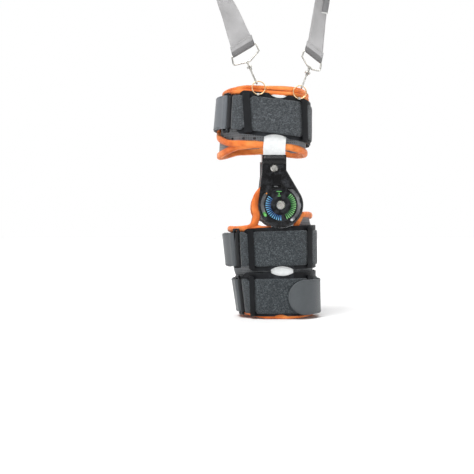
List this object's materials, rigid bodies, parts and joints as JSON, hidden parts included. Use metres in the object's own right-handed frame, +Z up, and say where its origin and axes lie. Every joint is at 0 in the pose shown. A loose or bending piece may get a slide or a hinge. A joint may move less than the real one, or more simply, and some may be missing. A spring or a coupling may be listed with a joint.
{
  "type": "knee brace",
  "caption": "Hinged range-of-motion knee brace with thigh and calf cuffs, dial hinges with slide locks, side bars and a clip-on suspension strap.",
  "frame": {"origin": "centre of the brace's footprint on the calf liner's flat bottom rim", "axes": "+X to the wearer's rear, -Y lateral, +Z up the leg"},
  "size_m": [0.2011, 0.168, 0.624],
  "materials": {
    "liner": "perforated foam-backed knit",
    "pad": "foam pad with knit cover",
    "binding": "folded elastic tape",
    "shell": "semi-gloss moulded",
    "felt": "brushed loop felt",
    "tab": "smooth laminated",
    "ring_plastic": "moulded",
    "bar": "satin, light anodised",
    "cover": "polished",
    "plate": "brushed",
    "lock": "polished",
    "stop": "polished",
    "blue_mark": "printed",
    "green_mark": "printed",
    "screw": "nickel plated",
    "bush": "plain",
    "wire": "nickel plated wire",
    "webbing": "woven webbing"
  },
  "bodies": {
    "calf": {"calf_liner": "liner", "calf_binding": "binding", "lateral_condyle_pad": "pad", "medial_condyle_pad": "pad", "lateral_upper_calf_shell": "shell", "lateral_lower_calf_shell": "shell", "lateral_calf_bar": "bar", "medial_upper_calf_shell": "shell", "medial_lower_calf_shell": "shell", "medial_calf_bar": "bar", "upper_calf_strap": "felt", "upper_calf_strap_tab": "tab", "upper_calf_strap_ring": "ring_plastic", "lower_calf_strap": "felt", "lower_calf_strap_tab": "tab", "lower_calf_strap_ring": "ring_plastic", "lower_calf_round_tab": "tab", "calf_shell_rivets": "screw", "pivot_bushes": "bush"},
    "thigh_frame": {"lateral_thigh_bar": "bar", "lateral_hinge_cover": "cover", "lateral_hinge_back_plate": "plate", "medial_thigh_bar": "bar", "medial_hinge_cover": "cover", "medial_hinge_back_plate": "plate", "dial_plates": "cover", "extension_scale_marks": "blue_mark", "flexion_scale_marks": "green_mark", "pivot_screws": "screw", "arm_screws": "screw", "hinge_nuts": "screw"},
    "thigh_cuff": {"thigh_liner": "liner", "thigh_binding": "binding", "lateral_thigh_shell": "shell", "medial_thigh_shell": "shell", "thigh_strap": "felt", "thigh_strap_tab": "tab", "thigh_strap_ring": "ring_plastic", "thigh_shell_rivets": "screw", "ring_staples": "wire"},
    "suspender": {"front_suspension_ring": "wire", "front_strap_loop": "wire", "front_snap_hook": "wire", "rear_suspension_ring": "wire", "rear_strap_loop": "wire", "rear_snap_hook": "wire", "suspension_webbing": "webbing"},
    "front_gate": {"front_hook_gate": "wire"},
    "rear_gate": {"rear_hook_gate": "wire"},
    "adjuster": {"webbing_slider": "wire"},
    "lateral_lock": {"lateral_lock_slider": "lock"},
    "medial_lock": {"medial_lock_slider": "lock"},
    "lateral_extension_stop": {"lateral_extension_stop": "stop"},
    "lateral_flexion_stop": {"lateral_flexion_stop": "stop"},
    "medial_extension_stop": {"medial_extension_stop": "stop"},
    "medial_flexion_stop": {"medial_flexion_stop": "stop"}
  },
  "joints": [
    {"name": "knee", "type": "hinge", "parent": "calf", "child": "thigh_frame", "pos_m": [0.02, 0, 0.196], "axis": [0, 1, 0], "range_deg": [0, 90]},
    {"name": "cuff_height", "type": "slide", "parent": "thigh_frame", "child": "thigh_cuff", "axis": [0.0872, 0, 0.9962], "range_m": [0, 0.02]},
    {"name": "suspender_swing", "type": "hinge", "parent": "thigh_cuff", "child": "suspender", "pos_m": [-0.0189, -0.0752, 0.386], "axis": [0.9944, 0.0449, -0.0955], "range_deg": [-5, 60]},
    {"name": "front_gate_open", "type": "hinge", "parent": "suspender", "child": "front_gate", "pos_m": [-0.03107, -0.07895, 0.42795], "axis": [0.9161, 0.0414, 0.3989], "range_deg": [0, 12], "stiffness_Nm_per_rad": 0.02, "springref_deg": -11.46},
    {"name": "rear_gate_open", "type": "hinge", "parent": "suspender", "child": "rear_gate", "pos_m": [0.06455, -0.07463, 0.41911], "axis": [0.9281, 0.0419, -0.3698], "range_deg": [0, 12], "stiffness_Nm_per_rad": 0.02, "springref_deg": -11.46},
    {"name": "adjuster_slide", "type": "slide", "parent": "suspender", "child": "adjuster", "axis": [0.2021, 0, 0.9794], "range_m": [0, 0.01]},
    {"name": "lateral_lock_slide", "type": "slide", "parent": "thigh_frame", "child": "lateral_lock", "axis": [0, 0, -1], "range_m": [0, 0.005]},
    {"name": "medial_lock_slide", "type": "slide", "parent": "thigh_frame", "child": "medial_lock", "axis": [0, 0, -1], "range_m": [0, 0.005]},
    {"name": "lateral_extension_stop_turn", "type": "hinge", "parent": "thigh_frame", "child": "lateral_extension_stop", "pos_m": [0.02, 0, 0.196], "axis": [0, 1, 0], "range_deg": [0, 66]},
    {"name": "lateral_flexion_stop_turn", "type": "hinge", "parent": "thigh_frame", "child": "lateral_flexion_stop", "pos_m": [0.02, 0, 0.196], "axis": [0, -1, 0], "range_deg": [0, 113]},
    {"name": "medial_extension_stop_turn", "type": "hinge", "parent": "thigh_frame", "child": "medial_extension_stop", "pos_m": [0.02, 0, 0.196], "axis": [0, 1, 0], "range_deg": [0, 66]},
    {"name": "medial_flexion_stop_turn", "type": "hinge", "parent": "thigh_frame", "child": "medial_flexion_stop", "pos_m": [0.02, 0, 0.196], "axis": [0, -1, 0], "range_deg": [0, 113]}
  ]
}
